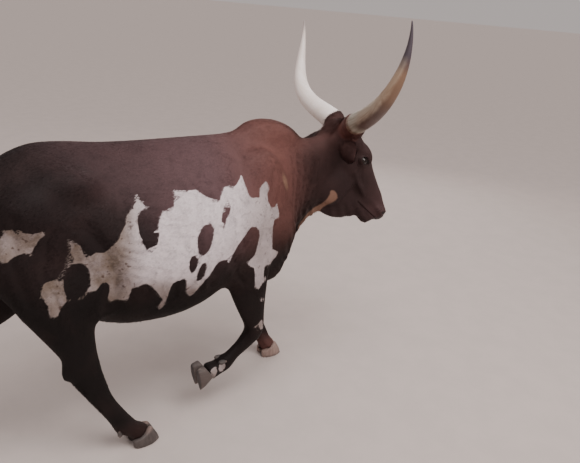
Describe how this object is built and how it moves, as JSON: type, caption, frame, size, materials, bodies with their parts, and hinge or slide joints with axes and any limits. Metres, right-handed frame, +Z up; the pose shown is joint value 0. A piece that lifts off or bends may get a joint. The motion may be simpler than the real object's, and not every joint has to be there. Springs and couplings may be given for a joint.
{
  "type": "longhorned bull",
  "caption": "Life-size still model of a walking long-horned bull with a low hump, patched coat and one forefoot lifted.",
  "frame": {"origin": "centre of the bounding box at the level of the floor", "axes": "+X toward the muzzle, along the animal; +Y to the animal's left; +Z up"},
  "size_m": [2.1143, 1.0117, 1.7715],
  "materials": {
    "hide": "short flat coat, dark red-brown with white patches",
    "eye": "wet",
    "horn": "satin keratin",
    "hoof": "matte keratin",
    "switch_hair": "coarse hair"
  },
  "bodies": {
    "root": {"torso": "hide", "neck": "hide", "head": "hide", "foreleg_left": "hide", "foreleg_right": "hide", "hindleg_left": "hide", "hindleg_right": "hide", "ear_left": "hide", "ear_right": "hide", "tail": "hide", "scrotum": "hide", "sheath": "hide", "eye_left": "eye", "eye_right": "eye", "horn_left": "horn", "horn_right": "horn", "tail_switch": "switch_hair", "claw_fore_left_left": "hoof", "claw_fore_left_right": "hoof", "claw_fore_right_left": "hoof", "claw_fore_right_right": "hoof", "claw_hind_left_left": "hoof", "claw_hind_left_right": "hoof", "claw_hind_right_left": "hoof", "claw_hind_right_right": "hoof", "dewclaw_fore_left_left": "hoof", "dewclaw_fore_left_right": "hoof", "dewclaw_fore_right_left": "hoof", "dewclaw_fore_right_right": "hoof", "dewclaw_hind_left_left": "hoof", "dewclaw_hind_left_right": "hoof", "dewclaw_hind_right_left": "hoof", "dewclaw_hind_right_right": "hoof"}
  },
  "joints": []
}
